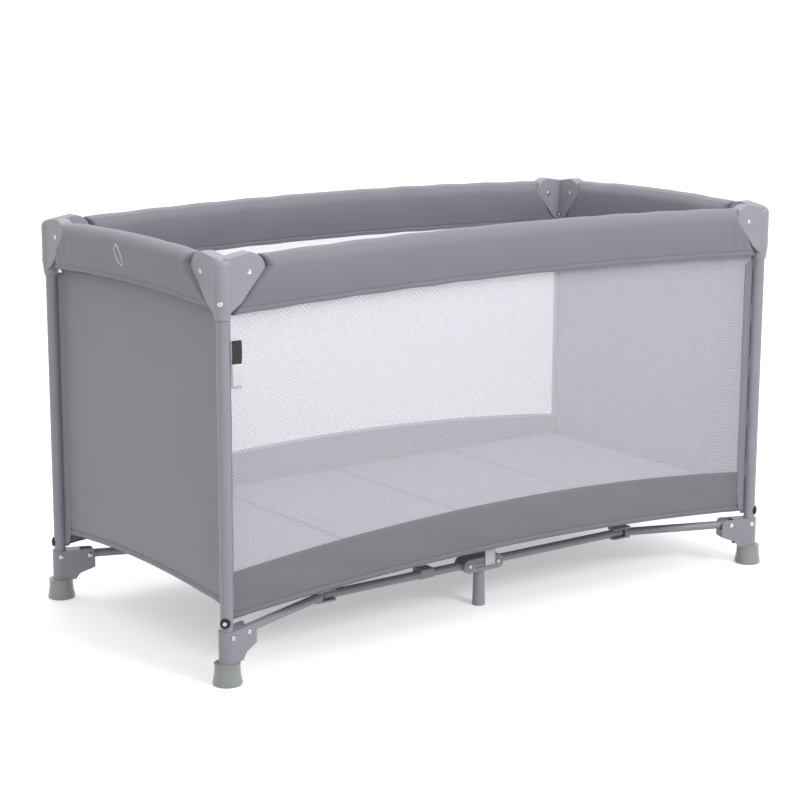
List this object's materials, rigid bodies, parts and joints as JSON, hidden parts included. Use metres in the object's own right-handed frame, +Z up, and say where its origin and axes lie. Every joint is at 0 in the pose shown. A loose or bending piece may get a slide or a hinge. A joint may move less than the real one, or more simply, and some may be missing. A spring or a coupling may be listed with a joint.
{
  "type": "playpen",
  "caption": "Folding rectangular travel cot playpen with upright tube legs, padded top rails, mesh long sides, solid fabric ends, bell feet and a quilted base mattress.",
  "frame": {"origin": "on the floor, under the middle of the frame", "axes": "+X along the long side, +Y from the front long side to the back one, +Z up"},
  "size_m": [1.308, 0.662, 0.748],
  "materials": {
    "painted_tube": "satin grey powder coat on steel tube",
    "rail_tube": "grey powder coat on the hidden top rail tubes",
    "painted_bracket": "grey powder coat on pressed steel",
    "cap_plastic": "fine textured grey moulded plastic",
    "foot_plastic": "smooth grey moulded plastic",
    "latch_plastic": "dark grey moulded plastic",
    "fastener_steel": "bright zinc-plated steel rivets and screws",
    "strap_webbing": "white woven webbing",
    "sleeve_fabric": "smooth grey woven polyester over padding",
    "mesh_wall": "light knitted mesh above a grey woven band",
    "end_fabric": "grey woven polyester panel",
    "floor_fabric": "grey woven polyester floor",
    "mattress_cover": "quilted grey woven polyester"
  },
  "bodies": {
    "leg_fl": {"leg_tube_fl": "painted_tube", "corner_cap_fl": "cap_plastic", "foot_bracket_fl": "cap_plastic", "foot_fl": "foot_plastic", "corner_hardware_fl": "fastener_steel", "wall_front": "mesh_wall", "wall_left": "end_fabric", "floor_cloth": "floor_fabric"},
    "leg_fr": {"leg_tube_fr": "painted_tube", "corner_cap_fr": "cap_plastic", "foot_bracket_fr": "cap_plastic", "foot_fr": "foot_plastic", "corner_hardware_fr": "fastener_steel", "wall_right": "end_fabric"},
    "leg_br": {"leg_tube_br": "painted_tube", "corner_cap_br": "cap_plastic", "foot_bracket_br": "cap_plastic", "foot_br": "foot_plastic", "corner_hardware_br": "fastener_steel"},
    "leg_bl": {"leg_tube_bl": "painted_tube", "corner_cap_bl": "cap_plastic", "foot_bracket_bl": "cap_plastic", "foot_bl": "foot_plastic", "corner_hardware_bl": "fastener_steel", "wall_back": "mesh_wall"},
    "half_rail_front_left": {"rail_front_left": "rail_tube"},
    "half_rail_front_right": {"rail_front_right": "rail_tube"},
    "half_rail_back_left": {"rail_back_left": "rail_tube"},
    "half_rail_back_right": {"rail_back_right": "rail_tube"},
    "half_rail_left_front": {"rail_left_front": "rail_tube"},
    "half_rail_left_back": {"rail_left_back": "rail_tube"},
    "half_rail_right_front": {"rail_right_front": "rail_tube"},
    "half_rail_right_back": {"rail_right_back": "rail_tube"},
    "mattress": {"mattress": "mattress_cover"},
    "latch_body_front": {"latch_front": "latch_plastic", "sleeve_front": "sleeve_fabric"},
    "button_body_front": {"latch_button_front": "latch_plastic"},
    "latch_body_back": {"latch_back": "latch_plastic", "sleeve_back": "sleeve_fabric"},
    "button_body_back": {"latch_button_back": "latch_plastic"},
    "latch_body_left": {"latch_left": "latch_plastic", "sleeve_left": "sleeve_fabric"},
    "button_body_left": {"latch_button_left": "latch_plastic"},
    "latch_body_right": {"latch_right": "latch_plastic", "sleeve_right": "sleeve_fabric"},
    "button_body_right": {"latch_button_right": "latch_plastic"},
    "base_rail_front_left": {"base_arm_fl": "painted_bracket", "base_tube_fl": "painted_tube"},
    "base_rail_front_right": {"base_arm_fr": "painted_bracket", "base_tube_fr": "painted_tube"},
    "base_hub_front": {"hub_front": "painted_bracket", "centre_leg_front": "painted_tube", "hub_strap_front": "strap_webbing"},
    "base_rail_back_left": {"base_arm_bl": "painted_bracket", "base_tube_bl": "painted_tube"},
    "base_rail_back_right": {"base_arm_br": "painted_bracket", "base_tube_br": "painted_tube"},
    "base_hub_back": {"hub_back": "painted_bracket", "centre_leg_back": "painted_tube", "hub_strap_back": "strap_webbing"}
  },
  "joints": [
    {"name": "frame_fold", "type": "hinge", "parent": "leg_fl", "child": "half_rail_front_left", "pos_m": [-0.582, -0.305, 0.709], "axis": [0, 1, 0], "range_deg": [0, 86], "deforming": ["sleeve_front", "sleeve_back", "sleeve_left", "sleeve_right", "wall_front", "wall_back", "wall_left", "wall_right", "floor_cloth", "mattress"]},
    {"name": "fold_latch_front", "type": "hinge", "parent": "half_rail_front_left", "child": "latch_body_front", "pos_m": [-0.035, -0.305, 0.709], "axis": [0, 1, 0], "range_deg": [-86, 0]},
    {"name": "fold_rail_front_right", "type": "hinge", "parent": "latch_body_front", "child": "half_rail_front_right", "pos_m": [0.035, -0.305, 0.709], "axis": [0, 1, 0], "range_deg": [-86, 0]},
    {"name": "fold_leg_fr", "type": "hinge", "parent": "half_rail_front_right", "child": "leg_fr", "pos_m": [0.582, -0.305, 0.709], "axis": [0, 1, 0], "range_deg": [0, 86]},
    {"name": "fold_rail_left_front", "type": "hinge", "parent": "leg_fl", "child": "half_rail_left_front", "pos_m": [-0.628, -0.259, 0.709], "axis": [-1, 0, 0], "range_deg": [0, 84.19]},
    {"name": "fold_latch_left", "type": "hinge", "parent": "half_rail_left_front", "child": "latch_body_left", "pos_m": [-0.628, -0.056, 0.709], "axis": [-1, 0, 0], "range_deg": [-84.19, 0]},
    {"name": "fold_rail_left_back", "type": "hinge", "parent": "latch_body_left", "child": "half_rail_left_back", "pos_m": [-0.628, 0.056, 0.709], "axis": [-1, 0, 0], "range_deg": [-84.19, 0]},
    {"name": "fold_leg_bl", "type": "hinge", "parent": "half_rail_left_back", "child": "leg_bl", "pos_m": [-0.628, 0.259, 0.709], "axis": [-1, 0, 0], "range_deg": [0, 84.19]},
    {"name": "fold_rail_back_left", "type": "hinge", "parent": "leg_bl", "child": "half_rail_back_left", "pos_m": [-0.582, 0.305, 0.709], "axis": [0, 1, 0], "range_deg": [0, 86]},
    {"name": "fold_latch_back", "type": "hinge", "parent": "half_rail_back_left", "child": "latch_body_back", "pos_m": [-0.035, 0.305, 0.709], "axis": [0, 1, 0], "range_deg": [-86, 0]},
    {"name": "fold_rail_back_right", "type": "hinge", "parent": "latch_body_back", "child": "half_rail_back_right", "pos_m": [0.035, 0.305, 0.709], "axis": [0, 1, 0], "range_deg": [-86, 0]},
    {"name": "fold_leg_br", "type": "hinge", "parent": "half_rail_back_right", "child": "leg_br", "pos_m": [0.582, 0.305, 0.709], "axis": [0, 1, 0], "range_deg": [0, 86]},
    {"name": "fold_rail_right_front", "type": "hinge", "parent": "leg_fr", "child": "half_rail_right_front", "pos_m": [0.628, -0.259, 0.709], "axis": [-1, 0, 0], "range_deg": [0, 84.19]},
    {"name": "fold_latch_right", "type": "hinge", "parent": "half_rail_right_front", "child": "latch_body_right", "pos_m": [0.628, -0.056, 0.709], "axis": [-1, 0, 0], "range_deg": [-84.19, 0]},
    {"name": "fold_rail_right_back", "type": "hinge", "parent": "latch_body_right", "child": "half_rail_right_back", "pos_m": [0.628, 0.056, 0.709], "axis": [-1, 0, 0], "range_deg": [-84.19, 0]},
    {"name": "fold_base_front_left", "type": "hinge", "parent": "leg_fl", "child": "base_rail_front_left", "pos_m": [-0.581, -0.28746, 0.084], "axis": [0, -1, 0], "range_deg": [0, 86]},
    {"name": "fold_hub_front", "type": "hinge", "parent": "base_rail_front_left", "child": "base_hub_front", "pos_m": [-0.034, -0.205, 0.084], "axis": [0, -1, 0], "range_deg": [-86, 0]},
    {"name": "fold_base_front_right", "type": "hinge", "parent": "leg_fr", "child": "base_rail_front_right", "pos_m": [0.581, -0.28746, 0.084], "axis": [0, 1, 0], "range_deg": [0, 86]},
    {"name": "fold_base_back_left", "type": "hinge", "parent": "leg_bl", "child": "base_rail_back_left", "pos_m": [-0.581, 0.28746, 0.084], "axis": [0, -1, 0], "range_deg": [0, 86]},
    {"name": "fold_hub_back", "type": "hinge", "parent": "base_rail_back_left", "child": "base_hub_back", "pos_m": [-0.034, 0.205, 0.084], "axis": [0, -1, 0], "range_deg": [-86, 0]},
    {"name": "fold_base_back_right", "type": "hinge", "parent": "leg_br", "child": "base_rail_back_right", "pos_m": [0.581, 0.28746, 0.084], "axis": [0, 1, 0], "range_deg": [0, 86]},
    {"name": "mattress_lift", "type": "slide", "parent": "leg_fl", "child": "mattress", "axis": [0, 0, 1], "range_m": [0, 0.782]},
    {"name": "press_button_front", "type": "slide", "parent": "latch_body_front", "child": "button_body_front", "axis": [0, 0, 1], "range_m": [0, 0.005], "stiffness_N_per_m": 400, "springref_m": -0.002},
    {"name": "press_button_back", "type": "slide", "parent": "latch_body_back", "child": "button_body_back", "axis": [0, 0, 1], "range_m": [0, 0.005], "stiffness_N_per_m": 400, "springref_m": -0.002},
    {"name": "press_button_left", "type": "slide", "parent": "latch_body_left", "child": "button_body_left", "axis": [0, 0, 1], "range_m": [0, 0.005], "stiffness_N_per_m": 400, "springref_m": -0.002},
    {"name": "press_button_right", "type": "slide", "parent": "latch_body_right", "child": "button_body_right", "axis": [0, 0, 1], "range_m": [0, 0.005], "stiffness_N_per_m": 400, "springref_m": -0.002}
  ],
  "couplings": [
    {"joint": "fold_latch_front", "follows": "frame_fold", "ratio": -1},
    {"joint": "fold_rail_front_right", "follows": "frame_fold", "ratio": -1},
    {"joint": "fold_leg_fr", "follows": "frame_fold", "ratio": 1},
    {"joint": "fold_rail_left_front", "follows": "frame_fold", "ratio": 0.979},
    {"joint": "fold_latch_left", "follows": "frame_fold", "ratio": -0.979},
    {"joint": "fold_rail_left_back", "follows": "frame_fold", "ratio": -0.979},
    {"joint": "fold_leg_bl", "follows": "frame_fold", "ratio": 0.979},
    {"joint": "fold_rail_back_left", "follows": "frame_fold", "ratio": 1},
    {"joint": "fold_latch_back", "follows": "frame_fold", "ratio": -1},
    {"joint": "fold_rail_back_right", "follows": "frame_fold", "ratio": -1},
    {"joint": "fold_leg_br", "follows": "frame_fold", "ratio": 1},
    {"joint": "fold_rail_right_front", "follows": "frame_fold", "ratio": 0.979},
    {"joint": "fold_latch_right", "follows": "frame_fold", "ratio": -0.979},
    {"joint": "fold_rail_right_back", "follows": "frame_fold", "ratio": -0.979},
    {"joint": "fold_base_front_left", "follows": "frame_fold", "ratio": 1},
    {"joint": "fold_hub_front", "follows": "frame_fold", "ratio": -1},
    {"joint": "fold_base_front_right", "follows": "frame_fold", "ratio": 1},
    {"joint": "fold_base_back_left", "follows": "frame_fold", "ratio": 1},
    {"joint": "fold_hub_back", "follows": "frame_fold", "ratio": -1},
    {"joint": "fold_base_back_right", "follows": "frame_fold", "ratio": 1},
    {"joint": "mattress_lift", "follows": "frame_fold", "m_per_rad": 0.5197}
  ]
}
